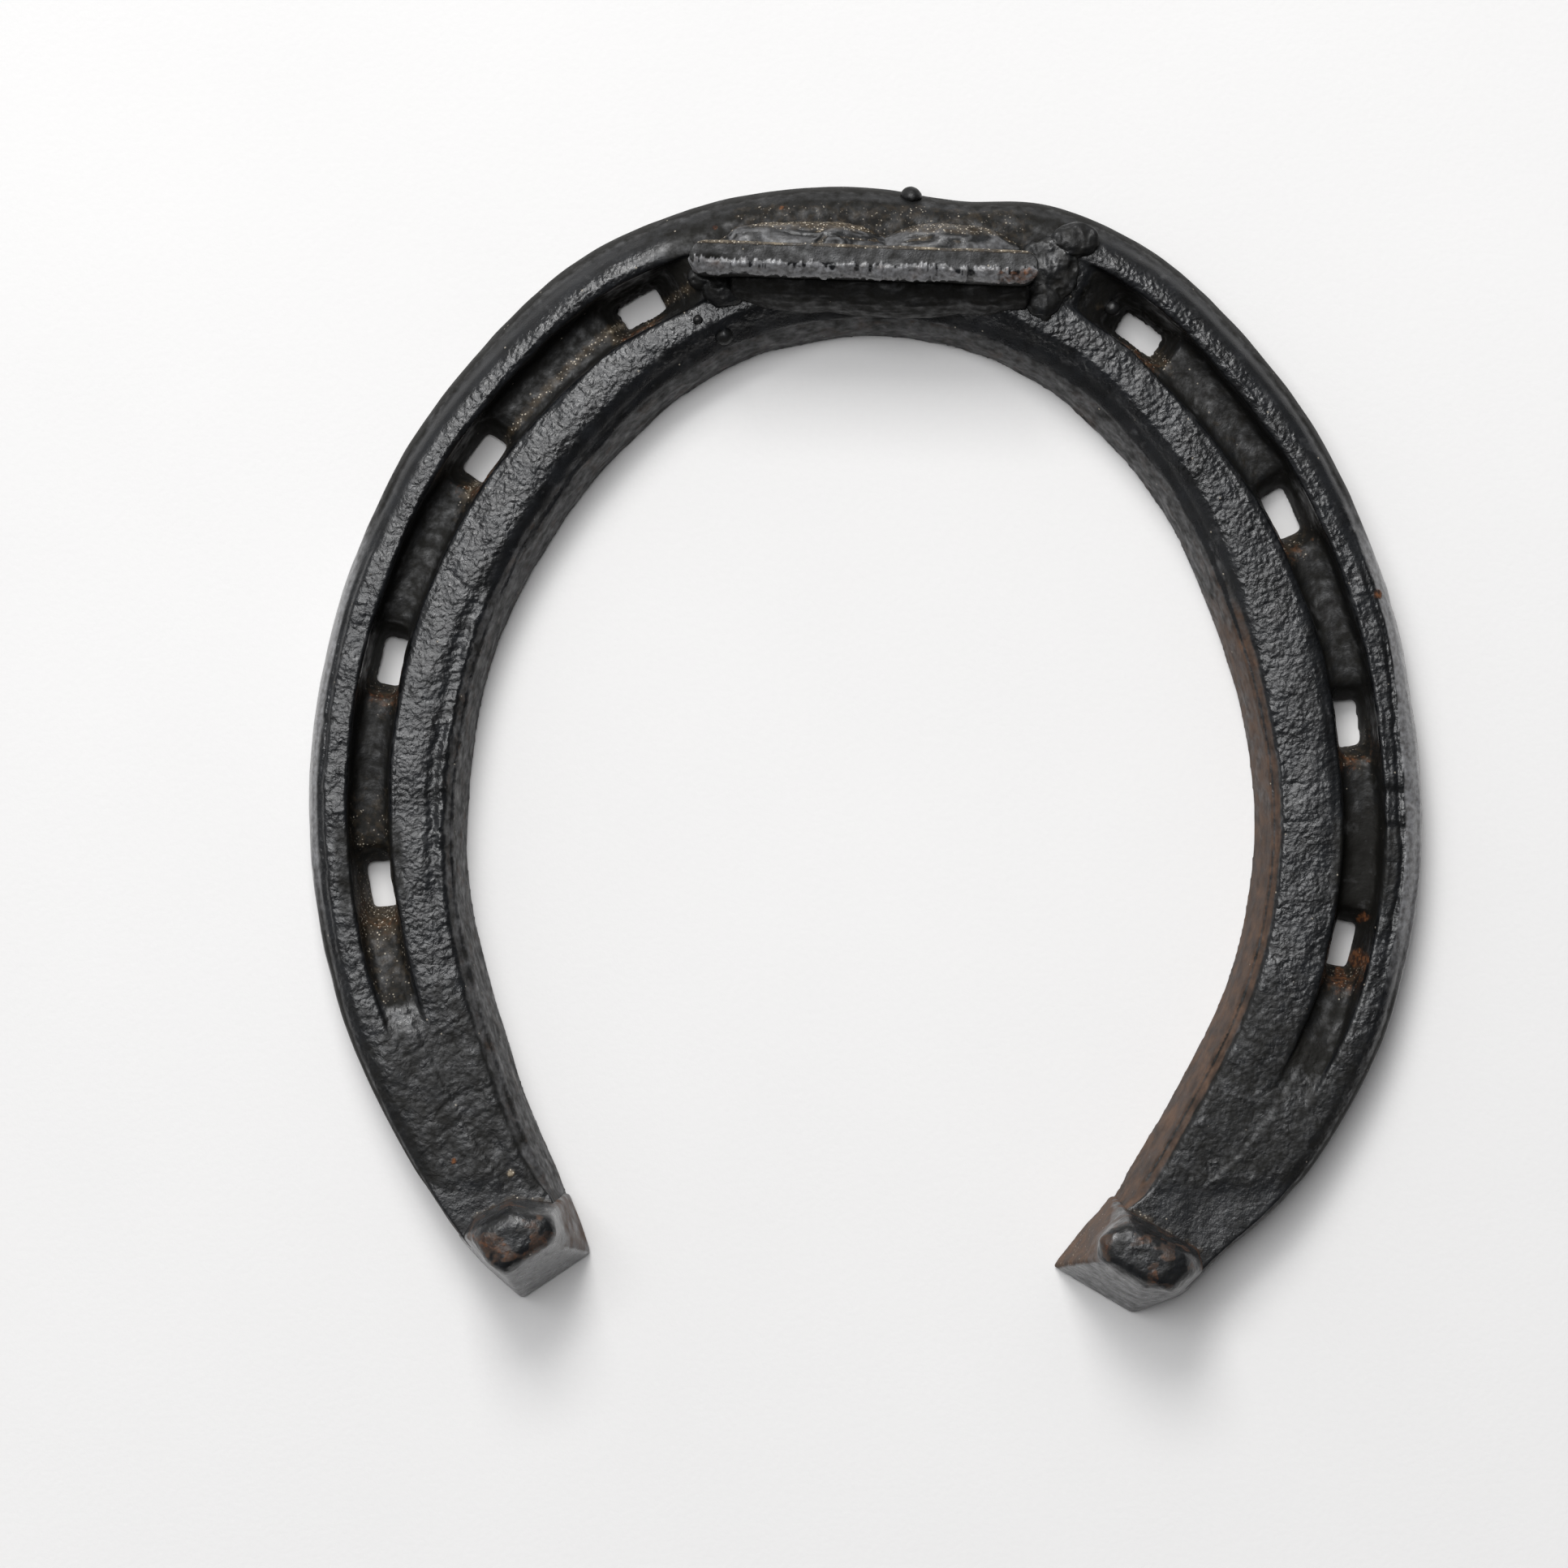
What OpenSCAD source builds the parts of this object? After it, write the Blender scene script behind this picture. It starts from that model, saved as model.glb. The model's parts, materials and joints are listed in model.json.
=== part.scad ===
// Fullered steel horseshoe with a toe bar and two heel calks.
// The shoe lies on its hoof face at z = 0, ground side up, toe towards +Y, heels towards -Y.

/* [Shoe] */
// Overall width across the branches
shoe_width = 136.5; // [110:0.5:170]
// Overall length from the toe to the longer heel
shoe_length = 138.5; // [110:0.5:170]
// Thickness of the bar from the hoof face to the ground surface
bar_height = 10; // [9:0.5:14]

/* [Fullering] */
// Width of the crease that sinks the nail heads
crease_width = 5; // [4:0.1:6]
// Depth of the crease below the ground surface
crease_depth = 4.8; // [2.5:0.1:6]
// Distance from the outer edge to the middle of the crease on the branches
crease_setback = 7.7; // [7:0.1:8.5]

/* [Nail holes] */
// Length of a nail hole along the crease, at the hoof face
hole_length = 5.6; // [4:0.1:7]
// Width of a nail hole across the crease, at the hoof face
hole_width = 3.2; // [2.5:0.1:3.6]
// Length of the tapered seat for the nail head, at the crease floor
seat_length = 9.5; // [7.5:0.1:11]
// Distance from the outer edge to the middle of a nail hole on the branches
hole_setback = 8.3; // [7.8:0.1:8.8]

/* [Toe bar] */
// Length of the bar across the toe
toe_bar_length = 42; // [36:0.5:44]
// Thickness of the bar, along the length of the shoe
toe_bar_thickness = 3.8; // [3:0.1:5]
// Height of the bar above the ground surface
toe_bar_height = 9.2; // [6:0.1:14]
// Angle by which the bar was welded on askew
toe_bar_skew = 1.9; // [0:0.1:4]

/* [Heel calks] */
// Height of the calks above the ground surface
calk_height = 9.2; // [5:0.1:14]
// Lean of the heel end faces, sideways per unit of height
end_lean = 0.24; // [0:0.01:0.28]

/* [Hidden] */
paint = [0.07, 0.075, 0.085];
worn = [0.30, 0.28, 0.26];
bead_colour = [0.10, 0.10, 0.105];

// Stations from the left heel round the toe to the right heel, at the hoof face:
// [outer edge, inner edge, how far the outer edge is rounded off at the ground surface]
drawn_width = 136.5;
drawn_length = 138.5;
stations = [
    [[-42.2, -67.5], [-33.9, -61.9], 0.8],
    [[-50, -59.5], [-36, -56], 0.8],
    [[-57.5, -47.5], [-41, -44.5], 1],
    [[-64, -33.5], [-46, -29], 1.6],
    [[-67.6, -17.5], [-48.8, -15], 2.2],
    [[-68, 0.5], [-48.3, -1], 2.2],
    [[-64, 20], [-45, 13.5], 2.4],
    [[-54.5, 40], [-37, 28.5], 3.2],
    [[-39, 57.5], [-26.5, 40.5], 4.8],
    [[-24.5, 65.5], [-17, 47], 4.6],
    [[-11.5, 68.7], [-8.5, 50], 4],
    [[0, 69.2], [0, 51], 4],
    [[11.5, 67.5], [8.5, 50.3], 3.6],
    [[24, 66.7], [17.5, 47.3], 4],
    [[39.5, 58.3], [27, 41], 4.2],
    [[55, 40], [37, 29], 3],
    [[64, 20], [44, 13.2], 2.4],
    [[67.8, 1], [47.5, -1], 2.2],
    [[68, -17], [47.8, -14.5], 2.2],
    [[63.5, -36], [44.5, -29.5], 2],
    [[53.5, -53], [37.5, -43.5], 1.4],
    [[43.2, -62.5], [30.5, -55], 1],
    [[38.5, -67.2], [26.6, -59.4], 0.8],
    [[33, -69.3], [23.4, -63.6], 0.8]
];
last = len(stations) - 1;
rings_per_span = 5;

// Where things sit, as a place along the stations
crease_left = [2.75, 9.15];
crease_right = [13.3, 19.6];
holes_left = [4, 5.64, 7.05, 8.48];
holes_right = [13.97, 15.36, 16.81, 18.45];
// The crease runs further in, and wider, round the toe quarters
toe_quarters = [8.5, 13.9];
toe_setback = 1.3;
toe_widening = 1.2;
// Length over which the lean of an end face fades out, and stations over which the crease runs out
lean_fade = 9;
crease_run_out_toe = 0.5;
crease_run_out_heel = 1.1;

toe_bar_middle = [-0.3, 58.7];
toe_bar_worn = 1.4;

// ---- Curves through the stations ----
function cubic(p0, p1, p2, p3, u) =
    0.5 * (2 * p1 + (p2 - p0) * u + (2 * p0 - 5 * p1 + 4 * p2 - p3) * u * u
        + (3 * p1 - p0 - 3 * p2 + p3) * u * u * u);
function along(column, t) =
    let (i = min(floor(t), last - 1), u = t - i,
         p1 = stations[i][column], p2 = stations[i + 1][column],
         p0 = i > 0 ? stations[i - 1][column] : 2 * p1 - p2,
         p3 = i + 2 <= last ? stations[i + 2][column] : 2 * p2 - p1)
    cubic(p0, p1, p2, p3, u);
function sized(p) = [p[0] * shoe_width / drawn_width, p[1] * shoe_length / drawn_length];
function outer(t) = sized(along(0, t));
function inner(t) = sized(along(1, t));
function web(t) = norm(inner(t) - outer(t));
function across(t) = (inner(t) - outer(t)) / web(t);
function heading(t) = [-across(t)[1], across(t)[0]];
// Distance along the bar from the nearer heel end, and the way from that end into the bar
function middle(t) = (outer(t) + inner(t)) / 2;
function from_end(t) = min(norm(middle(t) - middle(0)), norm(middle(t) - middle(last)));
function into_bar(t) = t < last / 2 ? heading(0) : -heading(last);

// The point at a depth in from the outer edge and a height above the hoof face
function lean(t, z) = end_lean * z * max(0, 1 - from_end(t) / lean_fade);
function at(t, depth, z) =
    let (p = outer(t) + across(t) * depth + into_bar(t) * lean(t, z))
    [p[0], p[1], z];

// ---- Sizes that change along the bar ----
function smooth(u) = let (v = min(1, max(0, u))) v * v * (3 - 2 * v);
function bump(t, middle_t, half) = smooth(1 - abs(t - middle_t) / half);
function at_toe_quarter(t) = max([for (q = toe_quarters) bump(t, q, 2.6)]);
function crease_here(t) =
    let (c = t < last / 2 ? crease_left : crease_right,
         heel = t < last / 2 ? t - c[0] : c[1] - t,
         toe = t < last / 2 ? c[1] - t : t - c[0])
    smooth(heel / crease_run_out_heel) * smooth(toe / crease_run_out_toe);
function crease_middle(t) = crease_setback + toe_setback * at_toe_quarter(t);
function crease_half(t) = (crease_width + toe_widening * at_toe_quarter(t)) / 2;

// How far the inner top edge is hammered down: fully round the toe, a little on the branches
function rolled(t) = 0.25 + 0.75 * smooth(1.6 * (1 - abs(t - last / 2) / 5.5));

// Cross-section of the bar, from the outer edge at the hoof face over the top to the inner edge
lip = 0.35;
wall_foot = 0.25;
slope_steps = 8;
function outer_slope(t) =
    let (b = along(2, t), low = wall_foot * bar_height)
    [for (i = [0:slope_steps]) let (a = 90 * i / slope_steps)
        at(t, b * (1 - cos(a)), low + (bar_height - low) * sin(a))];
function crease_points(t) =
    let (h = bar_height, w = web(t), share = crease_here(t), edge = h - lip * share,
         c = min(crease_middle(t), 0.55 * w), r = crease_half(t) * min(1, w / 16),
         floor_z = h - crease_depth * share)
    [at(t, c - r - lip, h), at(t, c - r, edge), at(t, c - 0.9 * r, floor_z),
     at(t, c + 0.86 * r, floor_z), at(t, c + r, edge), at(t, c + r + lip, h)];
// The inner top edge: [inset from the inner edge, drop below the ground surface]. It has a hammered
// lip along the shoe, and runs out into a plain slope under the calks.
plain_edge = [[1.3, 0], [1.2, 0.7], [1.1, 1.4], [1, 2.1]];
lip_start = 10;
lip_run_out = 6;
function lipped_edge(k) = [[2.2 + 3 * k, 0], [2 + 1.9 * k, 0.3 + 0.5 * k],
    [1.9 + 0.8 * k, 0.8 + 1.5 * k], [1.4 + 0.3 * k, 0.9 + 1.9 * k]];
function inner_edge(t) =
    let (h = bar_height, w = web(t), share = smooth((from_end(t) - lip_start) / lip_run_out),
         edge = plain_edge + (lipped_edge(rolled(t)) - plain_edge) * share)
    concat([for (p = edge) at(t, w - p[0], h - p[1])], [at(t, w - 0.5, 0.4 * h), at(t, w, 0)]);
function section(t) = concat([at(t, 0, 0)], outer_slope(t), crease_points(t), inner_edge(t));

// A closed solid swept through a list of rings, with flat ends. Each ring runs clockwise as seen
// from the ring before it.
function side_faces(n, count) = [for (i = [0:n - 1], j = [0:count - 2])
    let (a = j * n + i, b = j * n + (i + 1) % n)
    each [[a, b + n, b], [a, a + n, b + n]]];
module sweep(rings) {
    n = len(rings[0]);
    count = len(rings);
    polyhedron(points = [for (r = rings) each r], faces = concat(side_faces(n, count),
        [[for (i = [0:n - 1]) i]], [[for (i = [n - 1:-1:0]) (count - 1) * n + i]]));
}

// The outline's own box, so that the origin comes out at its middle
ring_places = [for (i = [0:last * rings_per_span]) i / rings_per_span];
edge_points = [for (t = ring_places) each [outer(t), inner(t)]];
function middle_of(axis) =
    (min([for (p = edge_points) p[axis]]) + max([for (p = edge_points) p[axis]])) / 2;
module centred() translate([-middle_of(0), -middle_of(1), 0]) children();

// ---- Shoe bar ----
// A nail hole: a tapered pit from the crease floor down to the slot in the hoof face
hole_seat_height = 4;
hole_clear = 0.6;
seat_share = 0.78;
function hole_middle(t) = hole_setback + 0.6 * toe_setback * at_toe_quarter(t);
function slot_ring(long, wide, z, shift = 0) =
    [for (c = [[-1, -1], [1, -1], [1, 1], [-1, 1]]) [c[0] * long / 2, shift + c[1] * wide / 2, z]];
module nail_hole(t) {
    floor_z = bar_height - crease_depth;
    seat_width = 2 * crease_half(t) * seat_share;
    shift = hole_middle(t) - crease_middle(t);
    turn = atan2(heading(t)[1], heading(t)[0]);
    translate(at(t, hole_middle(t), 0)) rotate(turn) sweep([
        slot_ring(hole_length, hole_width, -hole_clear),
        slot_ring(hole_length, hole_width, floor_z - hole_seat_height),
        slot_ring(seat_length, seat_width, floor_z, shift),
        slot_ring(seat_length, seat_width, bar_height + hole_clear, shift)]);
}
module shoe_bar() {
    color(paint) centred() difference() {
        sweep([for (t = ring_places) section(t)]);
        for (t = concat(holes_left, holes_right)) nail_hole(t);
    }
}

// ---- Heel calks ----
// Corners of a calk, anticlockwise as seen from above: [at its foot, at its top], each as
// [place along the stations, share of the way from the outer to the inner edge]
left_corners = [[[0, 0.08], [0.04, 0.15]], [[0, 0.87], [0.04, 0.76]], [[0.55, 0.89], [0.42, 0.88]],
    [[1.12, 0.91], [1, 0.86]], [[1.27, 0.6], [1.2, 0.58]], [[1.17, 0.27], [1.09, 0.3]],
    [[1.02, 0.06], [0.96, 0.23]], [[0.5, 0.07], [0.4, 0.13]]];
right_corners = [[[23, 0.88], [22.95, 0.71]], [[23, 0.07], [22.95, 0.22]], [[22, 0.06], [22.4, 0.11]],
    [[21.15, 0.06], [21.3, 0.2]], [[21, 0.21], [21.08, 0.32]], [[21, 0.89], [21.15, 0.86]],
    [[21.42, 0.92], [21.6, 0.92]], [[22, 0.91], [22.2, 0.91]]];
// Levels up a calk: [share of its height, share of the way from the foot's corners to the top's,
// share of the way from there to the middle]
calk_levels = [[0, 0, 0], [0.4, 0.42, 0], [0.75, 0.75, 0], [0.88, 1, 0], [0.96, 1, 0.12], [1, 1, 0.4]];
function calk_ring(corners, level) =
    let (ring = [for (c = corners) let (p = c[0] + (c[1] - c[0]) * level[1])
             at(p[0], p[1] * web(p[0]), bar_height + calk_height * level[0])],
         centre = [for (p = ring) 1] * ring / len(ring))
    [for (p = ring) p + (centre - p) * level[2]];
module heel_calk(corners) {
    color(worn) centred() sweep([for (level = calk_levels) calk_ring(corners, level)]);
}
module heel_calk_left() { heel_calk(left_corners); }
module heel_calk_right() { heel_calk(right_corners); }

// ---- Toe bar, and the welds round it ----
// Everything here is in the toe bar's own frame: x along it, y towards the toe, z up from its foot
half_bar = toe_bar_thickness / 2;
bar_flat = toe_bar_length / 2 - half_bar;
module on_toe() {
    place = sized(toe_bar_middle);
    centred() translate([place[0], place[1], bar_height]) rotate(-toe_bar_skew) children();
}
module bar_blank(height) {
    linear_extrude(height = height) union() {
        square([2 * bar_flat, toe_bar_thickness], center = true);
        for (x = [-bar_flat, bar_flat]) translate([x, 0]) circle(d = toe_bar_thickness, $fn = 32);
    }
}
module toe_bar() {
    color(paint) on_toe() difference() {
        bar_blank(toe_bar_height);
        // The worn edge that faces the heels
        translate([0, -half_bar, toe_bar_height]) rotate([50, 0, 0])
            cube([2 * toe_bar_length, 2 * toe_bar_worn, 2 * toe_bar_worn * 0.6], center = true);
    }
}

// Weld metal lies on the bar, so it is cut to the bar's own surface
bar_part = [9, 14.4];
module laid_on_bar() {
    color(bead_colour) difference() {
        on_toe() children();
        centred() sweep([for (t = ring_places) if (t >= bar_part[0] && t <= bar_part[1]) section(t)]);
    }
}

// A fillet of weld metal along the bar's face: side is 1 towards the toe, -1 towards the heels, and
// drop is how far it runs down past the ground surface.
// lumps are [place along the bar, width of the foot, height up the bar]
bead_arc = 6;
outer_drop = 0.4;
inner_drop = 1.7;
module fillet(side, drop, lumps) {
    rings = [for (l = side > 0 ? lumps : [for (i = [len(lumps) - 1:-1:0]) lumps[i]])
        concat([[l[0], side * half_bar, -drop]],
            [for (i = [0:bead_arc]) let (a = 90 * i / bead_arc)
                [l[0], side * (half_bar + l[1] * cos(a)), (l[2] + drop) * sin(a) - drop]])];
    laid_on_bar() sweep(rings);
}
module weld_outer_left() {
    fillet(1, outer_drop, [[-17.5, 0.8, 0.6], [-15.5, 2.2, 1.6], [-12, 3, 2.4], [-8, 3.2, 2.8],
        [-4, 3.4, 2.8], [-0.5, 3, 2.2], [2.6, 1.8, 1.4]]);
}
module weld_outer_right() {
    fillet(1, outer_drop, [[2.6, 1.8, 1.4], [5.5, 3.2, 2.2], [9, 3.8, 2.8], [13, 3.6, 2.6], [16, 3, 1.8],
        [18.8, 1.6, 1]]);
}
left_fillet_start = 14.6;
right_fillet_end = 18.8;
module weld_inner_left() {
    fillet(-1, inner_drop, [[-left_fillet_start, 2.6, 2.6], [-13, 3.2, 3.2], [-11, 3.5, 3.6],
        [-7, 3.6, 3.8], [-4, 3.2, 3]]);
}
module weld_inner_middle() {
    fillet(-1, inner_drop, [[-4, 3.2, 3], [-1, 3.7, 3.6], [4, 3.9, 4], [9, 3.7, 3.6], [12.4, 3.1, 3]]);
}
module weld_inner_right() {
    fillet(-1, inner_drop, [[12.4, 3.1, 3], [15, 3.4, 3.6], [right_fillet_end, 2.6, 2.8]]);
}

// A lump of weld metal at an end of the bar: round lumps, cut off square where the fillets start,
// with the bar's own end cut out of them. lumps are [[place x, y], [half sizes x, y, z]]
ball_r = 5;
end_cut = 60;
module ball(radii) {
    resize(2 * radii) sphere(r = ball_r, $fn = 24);
}
module end_lump(side, start, lumps) {
    laid_on_bar() difference() {
        for (l = lumps) translate([side * l[0][0], l[0][1], 0]) ball(l[1]);
        translate([side * (start - toe_bar_length), 0, 0])
            cube([2 * toe_bar_length, end_cut, end_cut], center = true);
        translate([0, 0, -end_cut / 2]) bar_blank(end_cut);
    }
}
module weld_end_left() {
    end_lump(-1, left_fillet_start,
        [[[17, -3.2], [2.5, 2, 1.7]], [[18.9, -1.6], [2.1, 1.9, 1.2]]]);
}
module weld_end_right() {
    end_lump(1, right_fillet_end, [[[22.4, 0.4], [3.7, 3.7, 1.4]], [[25.7, 4.1], [2.6, 1.9, 1.4]],
        [[22, -3.2], [2.1, 2, 2.1]]]);
}

// ---- Weld spatter ----
// Facets of the section that hold a bead, counted from the outer edge at the hoof face
on_slope = floor(0.6 * slope_steps);
on_crease_floor = slope_steps + 4;
on_ground = slope_steps + 7;
on_rolled_edge = slope_steps + 9;
// Beads stuck to the shoe: [place along the stations, facet of the section, radius]
beads = [[11.5, on_slope, 1.2], [9.1, on_rolled_edge, 1], [13.7, on_crease_floor, 0.8],
    [13.2, on_ground, 0.6], [8.9, on_ground, 0.5]];
module bead_dome(r) {
    resize([2 * r, 2 * r, 0.9 * r]) intersection() {
        sphere(r = ball_r, $fn = 24);
        translate([0, 0, ball_r]) cube(2 * ball_r, center = true);
    }
}
module bead(t, facet, r) {
    p = section(t)[facet];
    q = section(t)[facet + 1];
    slope = atan2(q[2] - p[2], norm([q[0] - p[0], q[1] - p[1]]));
    turn = atan2(across(t)[1], across(t)[0]);
    translate((p + q) / 2) rotate([0, 0, turn]) rotate([0, -slope, 0]) bead_dome(r);
}
module weld_spatter() {
    color(bead_colour) centred() for (b = beads) bead(b[0], b[1], b[2]);
}

shoe_bar();
toe_bar();
heel_calk_left();
heel_calk_right();
weld_outer_left();
weld_outer_right();
weld_inner_left();
weld_inner_middle();
weld_inner_right();
weld_end_left();
weld_end_right();
weld_spatter();
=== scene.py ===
import json
import math

import bpy
import numpy as np
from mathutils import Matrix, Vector


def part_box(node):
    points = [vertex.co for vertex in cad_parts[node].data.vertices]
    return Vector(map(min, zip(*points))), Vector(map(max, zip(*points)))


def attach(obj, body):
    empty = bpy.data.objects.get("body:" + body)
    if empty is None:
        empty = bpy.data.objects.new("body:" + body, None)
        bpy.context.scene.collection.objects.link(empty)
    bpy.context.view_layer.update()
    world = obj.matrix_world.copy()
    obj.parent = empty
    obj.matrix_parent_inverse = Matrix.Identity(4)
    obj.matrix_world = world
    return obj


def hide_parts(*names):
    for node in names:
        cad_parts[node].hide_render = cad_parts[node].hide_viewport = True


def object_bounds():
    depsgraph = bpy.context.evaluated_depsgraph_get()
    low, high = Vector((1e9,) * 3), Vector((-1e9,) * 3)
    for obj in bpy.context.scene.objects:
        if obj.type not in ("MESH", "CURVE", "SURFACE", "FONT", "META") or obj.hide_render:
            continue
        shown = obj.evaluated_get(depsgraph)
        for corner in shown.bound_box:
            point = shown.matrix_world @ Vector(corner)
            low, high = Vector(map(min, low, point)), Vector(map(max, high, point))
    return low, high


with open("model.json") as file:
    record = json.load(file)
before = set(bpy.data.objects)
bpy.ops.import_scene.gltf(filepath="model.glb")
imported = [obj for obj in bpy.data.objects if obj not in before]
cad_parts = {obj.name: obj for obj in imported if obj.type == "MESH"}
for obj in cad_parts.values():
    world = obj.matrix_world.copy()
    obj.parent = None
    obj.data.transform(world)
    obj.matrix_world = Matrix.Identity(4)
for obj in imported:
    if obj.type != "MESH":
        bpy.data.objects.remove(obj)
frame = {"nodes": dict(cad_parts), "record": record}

# A worn, black-painted horseshoe, lying on its hoof face. Each CAD node is copied, remeshed finely and
# worn, and the copy stands for the node. The scene is in metres. The mesh work is in millimetres, and MM is
# one of them. Each noise function takes points, the size of the grain, a seed and, where it has layers,
# how many.
MM = 0.001
CAD_LOW, CAD_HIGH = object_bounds()
CENTRE = (CAD_LOW + CAD_HIGH) / 2
NODES = frame["nodes"]
BAR_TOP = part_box("shoe_bar")[1].z
NAIL_HOLES = [m["pos_m"] for m in frame["record"]["mounts"] if m["name"].startswith("nail_hole")]
HOLES = [(place[0] / MM, place[1] / MM) for place in NAIL_HOLES]


def by_quality(full):
    return full


# ---- Seeded noise over points, from -1 to 1 ----

CELL_HASH = (374761393, 668265263, 1442695041)
SEED_HASH = 97531
LOW_32_BITS, LOW_16_BITS = 0xFFFFFFFF, 0xFFFF


def lattice(cell, seed):
    """A repeatable random value, from -1 to 1, for each integer cell."""
    h = (cell @ np.array(CELL_HASH) + seed * SEED_HASH) & LOW_32_BITS
    h = ((h ^ (h >> 13)) * 1274126177) & LOW_32_BITS
    h = ((h ^ (h >> 15)) * 2246822519) & LOW_32_BITS
    return ((h ^ (h >> 16)) & LOW_16_BITS) / (LOW_16_BITS / 2) - 1.0


def noise(points, size, seed):
    """Smooth value noise whose grains are size across: one length, or one for each axis."""
    q = points / np.asarray(size, float)
    cell = np.floor(q).astype(np.int64)
    f = q - cell
    f = f * f * f * (f * (6 * f - 15) + 10)
    total = np.zeros(len(q))
    for corner in np.ndindex(2, 2, 2):
        weight = np.prod(np.where(np.array(corner) == 1, f, 1 - f), axis=1)
        total += weight * lattice(cell + np.array(corner), seed)
    return total


def octaves(points, size, seeds, shrink, shape):
    """A layer of noise for each seed, each finer than the last and half as strong, put through shape."""
    size = np.asarray(size, float)
    total = np.zeros(len(points))
    share = 1.0
    for seed in seeds:
        total += share * shape(noise(points, size, seed))
        size = size / shrink
        share = share / 2
    return total / (2 - 2 ** (1 - len(seeds)))


def layered(points, size, seed, layers=3):
    """Rolling noise with finer noise on it, from -1 to 1."""
    seeds = [seed + 17 * k for k in range(layers)]
    return octaves(points, size, seeds, 2.03, lambda value: value)


def ridged(points, size, seed, layers=3):
    """Sharp ridges with round valleys between them, from -1 to 1."""
    seeds = [seed + 31 * k for k in range(layers)]
    return octaves(points, size, seeds, 2.1, lambda value: 1 - 2 * np.abs(value))


def pits(points, size, seed, share=0.5):
    """Round hollows scattered over the points: 0 on the flat, 1 at the middle of a pit."""
    q = points / size
    cell = np.floor(q).astype(np.int64)
    depth = np.zeros(len(q))
    for step in np.ndindex(3, 3, 3):
        c = cell + np.array(step) - 1
        middle = c + 0.5 + 0.4 * np.stack([lattice(c, seed + k) for k in range(3)], axis=1)
        reach = 0.28 + 0.14 * lattice(c, seed + 5)
        here = lattice(c, seed + 9) < 2 * share - 1
        gap = np.linalg.norm(q - middle, axis=1) / reach
        depth = np.maximum(depth, np.where(here, np.clip(1 - gap * gap, 0, 1), 0))
    return depth


def ramp(value, low, high):
    """0 at low, 1 at high, smooth between; low may be the larger."""
    u = np.clip((value - low) / (high - low), 0, 1)
    return u * u * (3 - 2 * u)


def band(value, low, high, soft):
    """1 from low to high, 0 beyond soft outside them."""
    return ramp(value, low - soft, low) * ramp(value, high + soft, high)


# ---- Where a point is on the shoe: along it from the toe, and in from the outer edge ----

def outline_loop(mesh):
    """The longest closed run of edges round the hoof face, as the points at which they start and end."""
    co = np.array([v.co for v in mesh.vertices]) / MM
    key = {}
    welded = [key.setdefault(tuple(np.round(c, 3)), i) for i, c in enumerate(co)]
    count = {}
    for face in mesh.polygons:
        if face.normal.z > -0.99 or abs(face.center.z) > 0.05 * MM:
            continue
        corner = [welded[v] for v in face.vertices]
        for a, b in zip(corner, corner[1:] + corner[:1]):
            count[(min(a, b), max(a, b))] = count.get((min(a, b), max(a, b)), 0) + 1
    links = {}
    for (a, b), n in count.items():
        if n == 1:
            links.setdefault(a, []).append(b)
            links.setdefault(b, []).append(a)
    loops = []
    left = set(links)
    while left:
        loop = []
        here = min(left)
        while here in left:
            left.remove(here)
            loop.append(here)
            here = next((n for n in links[here] if n in left), None)
        loops.append(loop)
    loop = max(loops, key=lambda l: np.ptp(co[l], axis=0).sum())
    return co[loop], co[loop[1:] + loop[:1]]


def crossings(start, end, angle):
    """Distances from the origin at which a ray at this angle crosses the outline."""
    ray = np.array([math.cos(angle), math.sin(angle)])
    a, b = start[:, :2], end[:, :2]
    side_a = ray[0] * a[:, 1] - ray[1] * a[:, 0]
    side_b = ray[0] * b[:, 1] - ray[1] * b[:, 0]
    hit = (side_a <= 0) != (side_b <= 0)
    u = side_a[hit] / (side_a[hit] - side_b[hit])
    where = (a[hit] + (b[hit] - a[hit]) * u[:, None]) @ ray
    return np.sort(where[where > 0])


class Shoe:
    """The bar's two edges as radius by angle, worked out from the CAD node's own hoof face."""

    def __init__(self, mesh):
        start, end = outline_loop(mesh)
        self.start, self.end = start[:, :2], end[:, :2]
        angles, inner, outer = [], [], []
        for angle in np.radians(np.arange(-90, 270, 1.0)):
            radius = crossings(start, end, angle)
            if len(radius) == 2:
                angles.append(angle)
                inner.append(radius[0])
                outer.append(radius[1])
        self.angle, self.inner, self.outer = np.array(angles), np.array(inner), np.array(outer)
        middle = (self.inner + self.outer) / 2
        path = np.stack([middle * np.cos(self.angle), middle * np.sin(self.angle)], axis=1)
        step = np.linalg.norm(np.diff(path, axis=0), axis=1)
        along = np.concatenate([[0], np.cumsum(step)])
        self.along = along - np.interp(math.pi / 2, self.angle, along)
        slope = np.gradient(middle, self.angle) / middle
        self.square = 1 / np.sqrt(1 + slope ** 2)

    def place(self, p):
        """How far each point is along the bar from the toe (right side positive), how far in from the
        outer edge, and how far in from the inner edge."""
        angle = np.mod(np.arctan2(p[:, 1], p[:, 0]) + math.pi / 2, 2 * math.pi) - math.pi / 2
        radius = np.hypot(p[:, 0], p[:, 1])
        look = lambda values: np.interp(angle, self.angle, values)
        square = look(self.square)
        return -look(self.along), (look(self.outer) - radius) * square, (radius - look(self.inner)) * square


SHOE = Shoe(NODES["shoe_bar"].data)


# ---- Mesh work, in millimetres ----

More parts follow.
